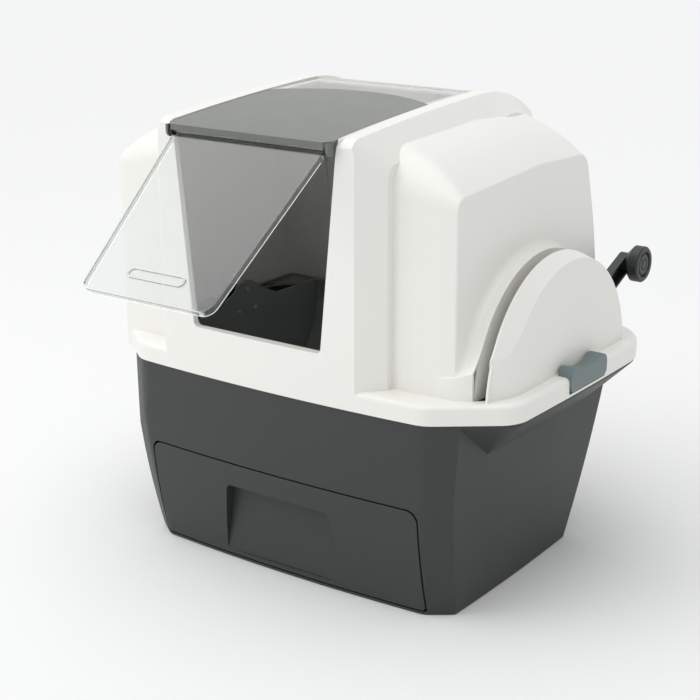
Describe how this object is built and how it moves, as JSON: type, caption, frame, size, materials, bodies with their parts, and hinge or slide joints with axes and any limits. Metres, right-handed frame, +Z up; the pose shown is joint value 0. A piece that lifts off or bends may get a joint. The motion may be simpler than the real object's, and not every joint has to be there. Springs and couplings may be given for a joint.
{
  "type": "sifting litter box",
  "caption": "Hooded litter box with a clear swing door, a lever-turned sifting pan and a pull-out waste drawer.",
  "frame": {"origin": "on the floor under the middle of the rim", "axes": "+X to the side with the lever, +Y to the rear, +Z up; the entrance faces -Y"},
  "size_m": [0.659, 0.6801, 0.6302],
  "materials": {
    "white_plastic": "semi-gloss moulded plastic",
    "base_plastic": "fine satin",
    "panel_plastic": "fine satin",
    "clear_plastic": "clear glossy plastic",
    "charcoal_plastic": "satin",
    "latch_plastic": "satin",
    "pan_plastic": "smooth, easy to wipe",
    "black_plastic": "satin",
    "steel": "plated",
    "filter_fabric": "open fibre mat"
  },
  "bodies": {
    "housing": {"base_tub": "base_plastic", "pan_cradle_right": "pan_plastic", "pan_cradle_left": "pan_plastic", "pan_bush_right": "black_plastic", "pan_bush_left": "black_plastic", "hood_shell": "white_plastic", "roof_panel": "panel_plastic", "roof_window": "clear_plastic", "hinge_clip_right": "black_plastic", "hinge_clip_left": "black_plastic", "latch_pin_right": "steel", "latch_pin_left": "steel", "filter_frame": "white_plastic", "filter_pad": "filter_fabric"},
    "pan": {"litter_pan": "pan_plastic", "sieve": "pan_plastic", "trunnion_right": "black_plastic", "trunnion_left": "black_plastic", "trunnion_screws": "steel", "sift_lever": "charcoal_plastic", "lever_screw": "black_plastic", "knob_pin": "steel"},
    "knob": {"knob": "charcoal_plastic", "knob_cap": "charcoal_plastic"},
    "door": {"swing_door": "clear_plastic"},
    "latch_right": {"latch_right": "latch_plastic"},
    "latch_left": {"latch_left": "latch_plastic"},
    "drawer": {"drawer_front": "base_plastic", "drawer_bin": "pan_plastic", "drawer_screws": "steel"}
  },
  "joints": [
    {"name": "sift_turn", "type": "hinge", "parent": "housing", "child": "pan", "pos_m": [0, -0.005, 0.3], "axis": [1, 0, 0], "range_deg": [0, 140]},
    {"name": "knob_spin", "type": "hinge", "parent": "pan", "child": "knob", "pos_m": [0.296, 0.21132, 0.39182], "axis": [1, 0, 0], "continuous": true},
    {"name": "door_swing", "type": "hinge", "parent": "housing", "child": "door", "pos_m": [-0.021, -0.242, 0.5965], "axis": [-1, 0, 0], "range_deg": [-96, 38]},
    {"name": "latch_right_turn", "type": "hinge", "parent": "housing", "child": "latch_right", "pos_m": [0.323, 0.0165, 0.2815], "axis": [0, 1, 0], "range_deg": [0, 40]},
    {"name": "latch_left_turn", "type": "hinge", "parent": "housing", "child": "latch_left", "pos_m": [-0.323, 0.0165, 0.2815], "axis": [0, -1, 0], "range_deg": [0, 40]},
    {"name": "drawer_slide", "type": "slide", "parent": "housing", "child": "drawer", "axis": [0, -1, 0], "range_m": [0, 0.28]}
  ]
}
